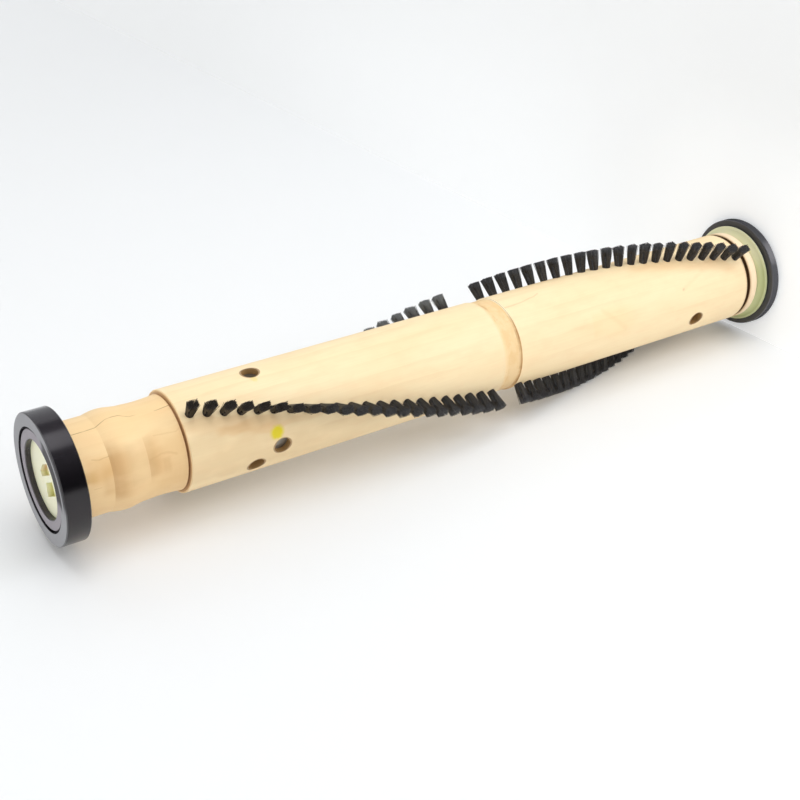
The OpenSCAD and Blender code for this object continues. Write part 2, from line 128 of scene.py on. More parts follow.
class Finish:
    """A material, its Principled shader and the coordinates of the piece."""

    def __init__(self, name, **values):
        self.material = bpy.data.materials.new(name)
        self.material.use_nodes = True
        self.tree = self.material.node_tree
        self.tree.nodes.clear()
        self.shader = self.tree.nodes.new("ShaderNodeBsdfPrincipled")
        output = self.tree.nodes.new("ShaderNodeOutputMaterial")
        self.tree.links.new(self.shader.outputs[0], output.inputs[0])
        for socket, value in values.items():
            self.set(socket.replace("_", " "), value)
        self.place = self.node("ShaderNodeTexCoord", out="Object")

    def node(self, kind, settings=None, sockets=None, out=0):
        made = self.tree.nodes.new(kind)
        for key, value in (settings or {}).items():
            if key == "stops":
                ramp = made.color_ramp
                for count, (at, colour) in enumerate(value):
                    stop = ramp.elements[count] if count < 2 else ramp.elements.new(at)
                    stop.position, stop.color = at, colour
            elif key == "blend":
                made.color_ramp.interpolation = value
            else:
                setattr(made, key, value)
        for key, value in (sockets or {}).items():
            self.feed(made.inputs[key], value)
        return Wire(self, made.outputs[out])

    def feed(self, socket, value):
        if isinstance(value, Wire):
            self.tree.links.new(value.socket, socket)
        else:
            socket.default_value = value

    def set(self, socket, value):
        self.feed(self.shader.inputs[socket], value)

    def math(self, operation, *values, clamp=False):
        return self.node("ShaderNodeMath", {"operation": operation, "use_clamp": clamp},
                         dict(enumerate(values)))

    def vector(self, operation, *values, out=0):
        return self.node("ShaderNodeVectorMath", {"operation": operation}, dict(enumerate(values)), out)

    def mix(self, share, first, second, blend="MIX"):
        return self.node("ShaderNodeMix", {"data_type": "RGBA", "blend_type": blend},
                         {0: share, 6: first, 7: second}, 2)

    def smooth(self, value, low, high):
        """0 below low and 1 above high, with a soft step between; high may be the smaller."""
        return self.node("ShaderNodeMapRange", {"interpolation_type": "SMOOTHSTEP"},
                         {0: value, 1: min(low, high), 2: max(low, high),
                          3: float(low > high), 4: float(low < high)})

    def noise(self, size, detail=2, rough=0.5, seed=0):
        """Noise of about one blob for each size in mm; three sizes stretch it."""
        sizes = size if isinstance(size, tuple) else (size,) * 3
        moved = self.node("ShaderNodeMapping", None,
                          {0: self.place, 1: (seed, 2 * seed, -seed), 3: [1 / (MM * one) for one in sizes]})
        return self.node("ShaderNodeTexNoise", None,
                         {"Vector": moved, "Scale": 1.0, "Detail": detail, "Roughness": rough})

    def bump(self, height, depth):
        """Raises the surface by up to depth mm where height goes from 0 to 1."""
        self.set("Normal", self.node("ShaderNodeBump", None,
                                     {"Strength": 1.0, "Distance": depth * MM, "Height": height}))


def colour(red, green, blue):
    """A colour of the photograph's kind, 0 to 255, in the linear values that shaders use."""
    return [(value / 255 / 12.92 if value < 10.3 else ((value / 255 + 0.055) / 1.055) ** 2.4)
            for value in (red, green, blue)] + [1.0]


print("mid grey is", [round(value, 3) for value in colour(128, 128, 128)])

# %% [markdown]
# ## Studio
# The photograph's table lies behind the part here, so a pale wall plays it: it touches the tuft tips,
# and takes the soft shadow and the bounce of warm light that a table would. A floor carries the part.
# Two big grids are enough. The wall only shows its front, so that a camera behind it sees through it.
# The photograph has no floor, so this one is a pane that neither shades the far end nor shows in the
# black rubber. It also glows, a painted light, so that it is as bright as the wall and no line shows where they meet.

# %% Floor and wall
tuft_tip_r = 27.3
wall_reach = 3.0
floor_reach = 3.0


def backdrop(name, at, normal, across, reach, tone):
    grid = bmesh.new()
    bmesh.ops.create_grid(grid, x_segments=1, y_segments=1, size=reach)
    side = across.cross(normal)
    turn = Matrix((across, side, normal)).transposed().to_4x4()
    turn = turn if turn.determinant() > 0 else Matrix((across, -side, normal)).transposed().to_4x4()
    bmesh.ops.transform(grid, matrix=Matrix.Translation(at) @ turn, verts=grid.verts)
    mesh = bpy.data.meshes.new(name)
    grid.to_mesh(mesh)
    grid.free()
    made = bpy.data.objects.new(name, mesh)
    bpy.context.collection.objects.link(made)
    finish = Finish(name, Roughness=0.6)
    finish.set("Specular IOR Level", 0.1)
    cloudy = finish.noise(400, 1)
    finish.set("Base Color", finish.mix(cloudy, tone, [value * 0.985 for value in tone[:3]] + [1.0]))
    mesh.materials.append(finish.material)
    return made, finish


floor, floor_finish = backdrop("floor", Vector((0, 0, 0)), Vector((0, 0, 1)), Vector((1, 0, 0)),
                               floor_reach, [0.86, 0.865, 0.865, 1.0])
wall, wall_finish = backdrop("wall", in_picture(0, -(tuft_tip_r + 0.1) * MM, wall_reach), table_up, to_viewer,
                             wall_reach, [0.84, 0.845, 0.85, 1.0])
wall.visible_shadow = False
floor.visible_shadow = False
floor.visible_glossy = False
from_axis = floor_finish.vector("LENGTH", floor_finish.place, out=1)
off_table = floor_finish.vector("DOT_PRODUCT", floor_finish.place, table_up, out=1)
# Painted light: the floor's glow is strongest right beside the part, weaker further off and on the side away from the
# wall, and strong again a metre from the wall.
glow = (0.142 + floor_finish.smooth(from_axis, 0.09, 0.03) * 0.088
        - floor_finish.smooth(from_axis, 0.15, 0.6) * 0.07 - floor_finish.smooth(off_table, 0.02, 0.11) * 0.045
        + floor_finish.smooth(off_table, 0.75, 1.15) * 0.42)
floor_finish.set("Emission Color", floor_finish.mix(glow, (0, 0, 0, 1.0), (0.94, 0.97, 1.0, 1.0)))
floor_finish.set("Emission Strength", 1.0)
clear = wall_finish.node("ShaderNodeBsdfTransparent")
behind = wall_finish.node("ShaderNodeNewGeometry", out="Backfacing")
one_sided = wall_finish.node("ShaderNodeMixShader", None,
                             {0: behind, 1: Wire(wall_finish, wall_finish.shader.outputs[0]), 2: clear})
shown = next(node for node in wall_finish.tree.nodes if node.type == "OUTPUT_MATERIAL")
wall_finish.feed(shown.inputs[0], one_sided)
print("the wall stands", round((wall.data.vertices[0].co.dot(table_up)) / MM, 1), "mm from the axis")

# %% [markdown]
# ## Light
# Product pictures like this one use a pale room and a few soft boxes. The room alone makes the wide
# faint shadows, and is hidden from glossy reflections, so black rubber keeps its depth and mirrors
# only the boxes and the table. The main box hangs straight over the table. The
# others stand behind the table, over the near end, under the floor beyond the far end, and behind the
# wall for the side that faces it.

# %% Soft boxes
bpy.context.scene.view_settings.view_transform = "Standard"
room = bpy.data.worlds.new("room")
room.use_nodes = True
room.node_tree.nodes["Background"].inputs[0].default_value = (1.0, 0.985, 0.96, 1.0)
room.node_tree.nodes["Background"].inputs[1].default_value = 0.55
room.cycles_visibility.glossy = False
bpy.context.scene.world = room
aim = Vector((0, 0, roll_len * MM / 2))
for name, place, size, power in (
        ("box_over_the_table", in_picture(0.05, 1.0, 0.30), 0.58, 2.5),
        ("box_behind_the_table", in_picture(-0.95, 0.46, 0.10), 1.05, 2.4),
        ("box_over_the_near_end", in_picture(0.1, 0.4, 1.35), 0.8, 2.6),
        ("box_beyond_the_far_end", in_picture(0.45, 0.5, -0.35), 0.5, 2.4),
        ("box_behind_the_wall", in_picture(-0.1, -1.1, 0.6), 1.0, 2.4),
        ("fill_before_the_table", in_picture(0.9, 0.9, 0.2), 1.0, 2.1)):
    light = bpy.data.lights.new(name, "AREA")
    light.shape = "SQUARE"
    light.size, light.energy = size, power
    light.color = (0.94, 0.97, 1.0)
    lamp = bpy.data.objects.new(name, light)
    bpy.context.collection.objects.link(lamp)
    lamp.visible_camera = False
    lamp.visible_glossy = not name.startswith("fill")
    lamp.matrix_world = Matrix.Translation(place) @ (aim - place).to_track_quat("-Z", "Y").to_matrix().to_4x4()
    print(name, "is", round((place - aim).length, 2), "m away")

# %% [markdown]
# ## Places on the wood
# Marks on the roll are given as they were measured: in mm down from the near end, and in degrees round
# from the side that looks off the table. The finish works both out from Object coordinates, so they
# stay in place when the roll turns. Unrolled on a flat sheet they become `flat`, in mm both ways, where
# a thin line is only a distance from a few straight stretches.

# %% Helpers for places on the wood
barrel_r = 19.05
mm_per_degree = 18.2 * math.pi / 180


def wood_places(finish):
    """Sockets for mm down from the near end, degrees from the table's up, mm from the axis, and the sheet."""
    x = finish.node("ShaderNodeSeparateXYZ", None, {0: finish.place})
    y, z = (Wire(finish, x.socket.node.outputs[axis]) for axis in (1, 2))
    down = roll_len - z / MM
    around = finish.math("WRAP", finish.math("ARCTAN2", y, x) * (-180 / math.pi) - 45, 180, -180)
    out = finish.math("SQRT", x * x + y * y) / MM
    flat = finish.node("ShaderNodeCombineXYZ", None, {0: down, 1: around * mm_per_degree})
    return down, around, out, flat


def spot(finish, down, around, at, angle, radius, soft):
    """1 inside a round mark on the barrel, and 0 outside it."""
    along = down - at
    across = finish.math("WRAP", around - angle, 180, -180) * (barrel_r * math.pi / 180)
    return finish.smooth(finish.math("SQRT", along * along + across * across), radius + soft, radius)


def band(finish, value, low, high, soft, soft_high=None):
    """1 between low and high, with soft edges outside them."""
    return (finish.smooth(value, low - soft, low)
            * finish.smooth(value, high + (soft if soft_high is None else soft_high), high))


def off_line(finish, flat, points):
    """The distance in mm from a line through points, each given in mm down and degrees round."""
    gap = 1000.0
    for pair in zip(points, points[1:]):
        first, last = (Vector((down, turn * mm_per_degree, 0)) for down, turn in pair)
        step = last - first
        from_first = finish.vector("SUBTRACT", flat, first)
        share = finish.math("MULTIPLY", finish.vector("DOT_PRODUCT", from_first, step, out=1),
                            1 / step.length_squared, clamp=True)
        beside = finish.vector("SUBTRACT", from_first, finish.vector("MULTIPLY", step, share))
        gap = finish.math("MINIMUM", finish.vector("LENGTH", beside, out=1), gap)
    return gap


print("a degree round the roll is", round(mm_per_degree, 3), "mm on the sheet")

# %% [markdown]
# ## Turned maple
# Maple is pale and nearly even, so strong stripes would turn it into pine. Most of it is a soft cloudy
# tone with hardly visible fibres, which are noise stretched along the roll. Growth rings are big
# cylinders round the heart of the tree, outside the stick: the distance to that line, bent a little by
# noise, gives the few faint lines where they meet the surface. The neck has a warmer tone, because
# its slopes cut across the fibres and soak up more of the lacquer.

# %% Maple
maple = Finish("turned_maple", Roughness=0.5)
maple.set("Specular IOR Level", 0.3)
down, around, out, flat = wood_places(maple)
heart = (62.0, 25.0)
ring_step = 5.2
lean = maple.noise((34, 34, 160), 2, 0.5, 3) * 9
swirl = maple.noise((9, 9, 26), 2, 0.45, 7) * 2.4
bent = maple.node("ShaderNodeMapping", None,
                  {0: maple.place, 1: (heart[0] * MM, heart[1] * MM, 0), 3: (1, 1, 0.045)})
late = maple.math("FRACT", (maple.vector("LENGTH", bent, out=1) / MM + lean + swirl) / ring_step)
ring_line = maple.smooth(late, 0.5, 0.93) * maple.smooth(late, 1.0, 0.95)
ring_line = ring_line * maple.smooth(maple.noise((14, 14, 60), 2, 0.6, 11), 0.35, 0.65)
fibre = maple.noise((0.45, 0.45, 16), 3, 0.6, 5)
cloud = maple.noise((16, 16, 44), 2, 0.5, 9)
barrel_tone = maple.mix(cloud, colour(246, 219, 173), colour(252, 231, 190))
neck_tone = maple.mix(cloud, colour(240, 203, 149), colour(249, 221, 172))
tone = maple.mix(maple.smooth(down, 47.8, 47.2), barrel_tone, neck_tone)
figure = maple.smooth(maple.noise((5, 5, 11), 3, 0.55, 19), 0.4, 0.75)
tone = maple.mix(figure * 0.16, tone, colour(240, 190, 142))
tone = maple.mix(ring_line * 0.14, tone, colour(218, 178, 124))
tone = maple.mix(maple.smooth(fibre, 0.35, 0.75) * 0.1, tone, colour(222, 186, 136))
print("growth rings are", ring_step, "mm apart round a heart", round(math.hypot(*heart)), "mm from the axis")

# %% [markdown]
# ## Figure and painted shade of the neck and the barrel
# What catches the eye is not the even grain but single marks: tan slopes beside the crown with sharp
# edges on one side, a hairline crack, a few wavy lines and a swirl where the tool crossed the rings,
# and small streaks on the barrel. Each is a patch or a line at its measured place, blurred a little.
# Most patches lie on the side towards the viewer, about 50 to 120 degrees round, and are painted shade
# where the roll turns away from the light. The tan slopes beside the crown are partly end grain and partly this painted
# shade.


# %% Patches and lines
uneven = around + (maple.noise((7, 7, 12), 2, 0.4, 27) - 0.5) * 24
mottle = maple.smooth(maple.noise((5, 5, 9), 2, 0.4, 29), 0.2, 0.6) * 0.4 + 0.6


def patch(low, high, soft, soft_high, from_angle, to_angle, soft_angle):
    """A patch with its own softness on each side along the roll."""
    return (band(maple, down, low, high, soft, soft_high) * mottle
            * band(maple, uneven, from_angle, to_angle, soft_angle))


# Most of these patches are painted shade on the side towards the viewer. Those beside the crown are partly end grain,
# and those from 61 to 96 mm are painted shadow under the first tufts.
patches = (
    # low, high, soft, soft_high, from_angle, to_angle, soft_angle, share, shade
    (19.85, 21.2, 0.12, 8.0, 60, 94, 24, 0.72, (198, 150, 94)),
    (19.85, 20.4, 0.12, 1.4, 58, 88, 20, 0.30, (184, 136, 84)),
    (32.95, 36.2, 0.15, 2.0, 78, 91, 7, 0.26, (196, 150, 98)),
    (38.6, 39.8, 1.6, 1.8, 80, 93, 7, 0.30, (194, 148, 96)),
    (17.5, 19.8, 3.0, 0.15, 72, 95, 12, 0.40, (206, 160, 104)),
    (10.0, 12.5, 1.0, 4.0, 66, 74, 8, 0.55, (206, 160, 92)),
    (32.95, 34.5, 0.15, 5.0, 55, 92, 14, 0.58, (210, 164, 108)),
    (13.0, 19.8, 2.5, 0.15, 57, 76, 12, 0.42, (224, 174, 108)),
    (38.0, 46.0, 6.0, 0.5, 52, 110, 16, 0.34, (222, 180, 124)),
    (12.0, 46.5, 3.0, 1.0, 64, 120, 20, 0.24, (214, 172, 118)),
    (47.6, 84.0, 0.3, 24, 70, 118, 16, 0.42, (208, 179, 134)),
    (92.0, 120.0, 12, 16, 94, 122, 12, 0.26, (206, 178, 134)),
    (27.0, 34.0, 3, 3, 52, 90, 12, 0.24, (196, 160, 112)),
    (61.0, 69.0, 4.0, 6.0, 63, 70, 5, 0.34, (222, 174, 118)),
    (76.0, 96.0, 6.0, 8.0, 72, 77, 4, 0.20, (222, 176, 122)),
    (229.0, 244.0, 2.0, 9.0, 62, 84, 12, 0.20, (244, 208, 150)))
for low, high, soft, soft_high, from_angle, to_angle, soft_angle, share, shade in patches:
    tone = maple.mix(patch(low, high, soft, soft_high, from_angle, to_angle, soft_angle) * share,
                     tone, colour(*shade))
# Painted shadow: a warm tan band on the wood along the lower side of two tuft rows, where the tufts shade it.
for start, stop, foot, turn in ((50.0, 78.0, 37.8, 0.701), (262.0, 306.0, 2.2, 0.762)):
    painted_shadow_beside_row = band(maple, uneven - (down - start) * turn, foot + 7, foot + 15, 6, 14)
    tone = maple.mix(painted_shadow_beside_row * band(maple, down, start, stop, 8) * 0.3, tone, colour(222, 172, 112))
wobble = maple.noise((2.2, 2.2, 4), 2, 0.5, 23)
drawn = maple.vector("ADD", flat, maple.node("ShaderNodeCombineXYZ", None, {1: wobble * 0.9 - 0.45}))
lines = (
    # half width, softness, share, shade, points
    (0.05, 0.22, 0.30, (176, 128, 78), [(14, 54), (16.5, 56), (20, 54.5)]),
    (0.05, 0.20, 0.25, (184, 136, 84), [(12.6, 87), (15.2, 87.8)]),
    (0.10, 0.60, 0.20, (196, 150, 98), [(33.6, 72.5), (37.8, 69.8), (41, 70.7), (43, 74)]),
    (0.06, 0.40, 0.16, (196, 150, 98), [(37, 47), (44.8, 50), (47.2, 45)]),
    (0.08, 0.40, 0.28, (200, 156, 102), [(191, 18.2), (200, 17), (207.5, 12.6), (210, 9.5)]),
    (0.10, 1.60, 0.14, (222, 184, 128), [(234, 58), (245, 88)]),
    (0.10, 1.20, 0.12, (218, 180, 126), [(278.7, 62), (292, 45)]),
    (0.20, 0.50, 0.28, (188, 150, 102), [(278.5, 62.2), (278.9, 61.6)]))
for half, soft, share, shade, points in lines:
    mark = maple.smooth(off_line(maple, drawn, points), half + soft, half)
    tone = maple.mix(mark * share, tone, colour(*shade))
crack_line = [(11.1, 17.8), (15.6, 17.6), (19.4, 16.9), (22, 13.5), (24, 11), (26.5, 10.3), (28.8, 9.8),
              (30.5, 12.4), (32, 14.6), (42, 16.4), (47.3, 15.5)]
crack = maple.smooth(off_line(maple, flat, crack_line), 0.22, 0.04)
crack = crack * (1 - band(maple, down, 35, 40.5, 3, 1.5)) * (0.3 + maple.smooth(wobble, 0.3, 0.6) * 0.4)
tone = maple.mix(crack, tone, colour(138, 98, 60))
print(len(patches), "patches and", len(lines) + 1, "lines drawn")

# %% [markdown]
# ## Cuts in the maple
# The tool that cut the two narrow grooves was run hot on purpose, so their floors are brown. The wide
# middle groove is only a little warmer, blotchy, with pores that the turning tore open. A painted shade
# darkens its foot, most towards the viewer, and a painted light lifts the step beside it on the side
# that looks off the table.

# %% Grooves
saw_cut = band(maple, down, 46.75, 47.3, 0.25) * maple.smooth(out, 18.7, 18.2)
burnt = band(maple, down, 315.5, 317.75, 0.12) * maple.smooth(out, 18.85, 18.5)
singed = band(maple, down, 315.2, 318.0, 0.9)
groove = band(maple, down, 184.0, 190.9, 2.2, 0.4)
blotch = maple.smooth(maple.noise((6, 6, 3.5), 3, 0.6, 31), 0.4, 0.68)
foot_break_noise = maple.smooth(maple.noise((7, 7, 9), 2, 0.6, 15), 0.3, 0.6)
# Painted shade along the foot of the middle groove, strongest towards the viewer and broken up by noise.
painted_foot_shade = band(maple, down, 190.2, 190.95, 0.6, 0.2) * foot_break_noise * (0.2 + maple.smooth(around, 20, 55) * 0.8)
groove_brow = band(maple, down, 183.5, 184.3, 0.6) * blotch * maple.smooth(around, 45, 15)
pores = maple.smooth(maple.noise((0.8, 0.8, 1.3), 1, 0.5, 21), 0.68, 0.76) * groove
pores = pores * maple.smooth(maple.noise((9, 9, 9), 1, 0.5, 4), 0.5, 0.62)
tone = maple.mix(groove * (0.5 + blotch * 0.3), tone, colour(234, 194, 136))
tone = maple.mix(painted_foot_shade * 0.6, tone, colour(190, 144, 94))
tone = maple.mix(groove_brow * 0.5, tone, colour(196, 148, 98))
# Painted light on the step at the groove's foot, on the side that looks off the table, lifting its shade.
painted_foot_light = band(maple, down, 190.7, 191.1, 0.15) * maple.smooth(around, 45, 20)
tone = maple.mix(painted_foot_light * 0.8, tone, colour(255, 246, 220))
tone = maple.mix(pores * 0.55, tone, colour(168, 122, 80))
collar = maple.smooth(down, 317.8, 318.0)
tone = maple.mix(collar * 0.7, tone, colour(248, 222, 190))
tone = maple.mix(singed * 0.25, tone, colour(178, 120, 72))
tone = maple.mix(burnt, tone, colour(84, 58, 34))
cut_share = 0.55 + maple.smooth(around, 0, 60) * 0.35
tone = maple.mix(saw_cut * cut_share, tone, colour(170, 112, 62))

# %% [markdown]
# ## Drilled holes and paint
# The balancing machine drilled short holes and dabbed paint beside the ones that got a slug. A drill
# leaves a bruised brown rim, longer along the fibres, and tan end grain inside. The paint was thin,
# so its edge is a pale halo.

# %% Holes and dots of paint
drilled_r = 6.35 / 2
holes = {"back_slug": (80, -49.7), "front_slug": (83, -147), "upper_empty": (73.3, -166.5),
         "lower_empty": (roll_len - 43.4, -154.5)}
for name, (at, angle) in holes.items():
    facing = Vector((math.cos(math.radians(angle)), math.sin(math.radians(angle)), 0))
    from_hole = maple.vector("SUBTRACT", maple.place, (0, 0, (roll_len - at) * MM))
    long_hole = maple.vector("MULTIPLY", from_hole, (1, 1, 0.9))
    off_axis = maple.vector("LENGTH", maple.vector("CROSS_PRODUCT", long_hole, facing), out=1) / MM
    same_side = maple.smooth(maple.vector("DOT_PRODUCT", from_hole, facing, out=1), 0, 0.001)
    rim = maple.smooth(off_axis, drilled_r + 0.45, drilled_r + 0.05) * same_side
    tone = maple.mix(rim * 0.75, tone, colour(138, 100, 62))
    inside = maple.smooth(off_axis, drilled_r + 0.1, drilled_r + 0.02) * same_side
    tone = maple.mix(inside * maple.smooth(out, 18.95, 18.4), tone, colour(170, 134, 86))
    print(name, "faces", angle, "degrees")
ragged = around + (maple.noise(1.8, 2, 0.6, 13) - 0.5) * 7
for at, angle, radius, soft, share in ((80.9, 83.4, 1.45, 2.1, 1.0), (79.5, 17, 0.7, 1.1, 0.32)):
    paint = spot(maple, down, ragged, at, angle, radius, soft) * maple.smooth(out, 18.9, 19.0)
    tone = maple.mix(paint * share, tone, colour(226, 206, 44))
maple.set("Base Color", tone)
maple.set("Roughness", 0.44 + fibre * 0.14 + pores * 0.2)
lathe = maple.noise((60, 60, 0.35), 1, 0.5, 17)
maple.bump(fibre * 0.3 + lathe * 0.2 - crack * 1.5 - pores * 2.0, 0.03)

# %% [markdown]
# ## Bristle rows
# A tuft is more than a hundred nylon bristles, folded over a wire and driven into a round hole. The
# hole holds them tight, and outside it they fan out along the roll, up to ends that one cutter has
# trimmed, so a round foot becomes a flat tip with square corners. They could be hair particles, but
# the part has to be plain meshes, so each bristle is a small four-sided stick that is extruded station
# by station. A few different tufts are made once and then placed, turned, widened and leaned along the
# helix, because no eye finds the repeats in a row of twenty-two.

# %% One tuft
hole_floor_r = 11.9
hole_r = 1.47
bristle_r = 0.12
bristle_step = 0.232
tip_half_w, tip_half_t = 2.18, 1.42
stations = (0.0, 0.47, 0.62, 0.8, 1.0)


def packed(radius, step):
    """Places in a round hole, as close as bristles sit."""
    rows = int(radius / step / 0.87)
    found = []
    for row in range(-rows, rows + 1):
        for column in range(-2 * rows, 2 * rows + 1):
            spot_x, spot_y = (column + 0.5 * (row % 2)) * step, row * step * 0.87
            if math.hypot(spot_x, spot_y) <= radius:
                found.append((spot_x, spot_y))
    return found


def make_tuft(seed):
    """A tuft that points along +Z and fans out along X, as a mesh in metres."""
    draw = random.Random(seed)
    tuft = bmesh.new()
    shade = tuft.verts.layers.float.new("strand")
    clumps = [-2.1 + 4.2 * (number + draw.uniform(0.3, 0.7)) / 7 for number in range(7)]
    cut = draw.gauss(0, 0.05)
    for hole_x, hole_y in packed(hole_r, bristle_step):
        to_square = math.hypot(hole_x, hole_y) / max(abs(hole_x), abs(hole_y), 1e-6) / hole_r
        tip_x = hole_x * to_square * tip_half_w + draw.gauss(0, 0.05)
        nearest = min(clumps, key=lambda clump: abs(clump - tip_x))
        tip_x += (nearest - tip_x) * draw.uniform(0.05, 0.4)
        tip_y = hole_y * to_square * tip_half_t + draw.gauss(0, 0.05)
        tip = tuft_tip_r - 0.02 - abs(draw.gauss(0, 0.05)) - abs(cut) + cut * tip_x / tip_half_w
        if draw.random() < 0.015:
            tip -= draw.uniform(0.2, 1.2)
            tip_x, tip_y = tip_x + draw.gauss(0, 0.3), tip_y + draw.gauss(0, 0.3)
        value = draw.random()
        bow = draw.gauss(0, 0.05)
        face = bmesh.ops.create_circle(tuft, cap_ends=True, segments=4, radius=bristle_r * MM)["verts"][0].link_faces[0]
        path = [Vector((hole_x, hole_y, hole_floor_r))]
        for part in stations[1:]:
            spread = max(0.0, (part - 0.44) / 0.56)
            bent_by = bow * math.sin(math.pi * spread)
            path.append(Vector((hole_x + (tip_x - hole_x) * spread + bent_by,
                                hole_y + (tip_y - hole_y) * spread,
                                hole_floor_r + (tip - hole_floor_r) * part)))
        bmesh.ops.translate(tuft, vec=path[0] * MM, verts=face.verts)
        for vert in face.verts:
            vert[shade] = value
        for before, after in zip(path, path[1:]):
            grown = bmesh.ops.extrude_face_region(tuft, geom=[face])["geom"]
            face = next(item for item in grown if isinstance(item, bmesh.types.BMFace))
            bmesh.ops.translate(tuft, vec=(after - before) * MM, verts=face.verts)
    bmesh.ops.recalc_face_normals(tuft, faces=tuft.faces)
    mesh = bpy.data.meshes.new(f"tuft_{seed}")
    tuft.to_mesh(mesh)
    tuft.free()
    return mesh


tufts = [make_tuft(seed) for seed in range(8)]
print("a tuft has", len(packed(hole_r, bristle_step)), "bristles and",
      sum(len(face.vertices) - 2 for face in tufts[0].polygons), "triangles")

# %% [markdown]
# ## Black nylon
# Black bristle is never flat black: each stick catches the light along its side, and some are duller.
# A value that was drawn for each bristle shifts its tone, and a moderate gloss makes the streaks. Two
# soft patches on the roll shift the tone once more: the tufts next to the neck get a painted shade,
# brown-black with a painted warm reflection of the wood, and the tips that look off the table get a
# painted grey highlight.

# %% Bristle finish
nylon_black = Finish("black_bristle_nylon", Roughness=0.34)
strand = nylon_black.node("ShaderNodeAttribute", {"attribute_name": "strand"}, out="Fac")
dust = nylon_black.noise((3, 3, 3), 2, 0.5, 2)
shade = nylon_black.mix(strand ** 2, colour(46, 45, 46), colour(87, 86, 87))
shade = nylon_black.mix(dust * 0.3, shade, colour(94, 92, 90))
down, around, out, flat = wood_places(nylon_black)
# Painted shade with a warm painted reflection of the wood on the tufts next to the neck, and a painted grey highlight
# on the tips that look off the table.
painted_shade_near_neck = band(nylon_black, down, 40, 76, 40) * band(nylon_black, around, 20, 75, 25)
painted_highlight_on_tips = (band(nylon_black, down, 120, 182, 8) * band(nylon_black, around, -100, -40, 12)
              * nylon_black.smooth(out, 20.5, 25.5))
shade = nylon_black.mix(painted_shade_near_neck * 0.75, shade, colour(40, 27, 13))
nylon_black.set("Base Color", nylon_black.mix(painted_highlight_on_tips * 0.6, shade, colour(136, 138, 137)))
nylon_black.set("Roughness", 0.28 + strand * 0.2)

# %% Set the tufts along the helix
tuft_turn = 4.25
tuft_count = 22
rows = {"upper_front": (51.2, 6.06, -82.0), "upper_back": (50.85, 6.06, 98.0),
        "lower_front": (195.225, 5.58, 3.6), "lower_back": (193.025, 5.58, 183.6)}


def tuft_place(at, angle, turned):
    """The matrix that stands a tuft on the roll at mm down from the near end and degrees from +X."""
    outward = Vector((math.cos(math.radians(angle)), math.sin(math.radians(angle)), 0))
    along = Vector((0, 0, -1 if turned else 1))
    return Matrix.Translation((0, 0, (roll_len - at) * MM)) @ Matrix(
        (along, outward.cross(along), outward)).transposed().to_4x4()


for count, (row, (start, pitch, phase)) in enumerate(rows.items()):
    draw = random.Random(100 + count)
    whole = bmesh.new()
    whole.verts.layers.float.new("strand")
    for number in range(tuft_count):
        before = len(whole.verts)
        whole.from_mesh(tufts[draw.randrange(len(tufts))])
        whole.verts.ensure_lookup_table()
        tilt = Matrix.Rotation(math.radians(draw.gauss(0, 1.5)), 4, "Y") @ Matrix.Rotation(
            math.radians(draw.gauss(0, 1.2)), 4, "X") @ Matrix.Diagonal((draw.uniform(0.92, 1.12), 1, 1, 1))
        base = Matrix.Translation((0, 0, barrel_r * MM))
        place = tuft_place(start + pitch * number, phase - tuft_turn * number, draw.random() < 0.5)
        bmesh.ops.transform(whole, matrix=place @ base @ tilt @ base.inverted(), verts=whole.verts[before:])
    mesh = bpy.data.meshes.new(row + "_bristles")
    whole.to_mesh(mesh)
    whole.free()
    mesh.shade_smooth()
    mesh.materials.append(nylon_black.material)
    bristles = bpy.data.objects.new(row + "_bristles", mesh)
    bpy.context.collection.objects.link(bristles)
    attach(bristles, "roll")
    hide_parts(row + "_tufts")
    print(row, "has", sum(len(face.vertices) - 2 for face in mesh.polygons), "triangles")
for mesh in tufts:
    bpy.data.meshes.remove(mesh)

# %% [markdown]
# ## Rubber
# The rings are moulded in a hard rubber. Their outsides were polished by the mould and mirror the
# boxes, while the faces are duller. The faces are painted pale grey, partly a bloom, a wax that rubber
# sweats out, and partly a painted reflection of the bright room. On the near ring a painted dark
# reflection blackens the face's rim and lip on the side to the viewer. Round the outside each ring is
# painted in two tones, a painted light and shade: the near ring darker towards the viewer, the far
# ring lighter.


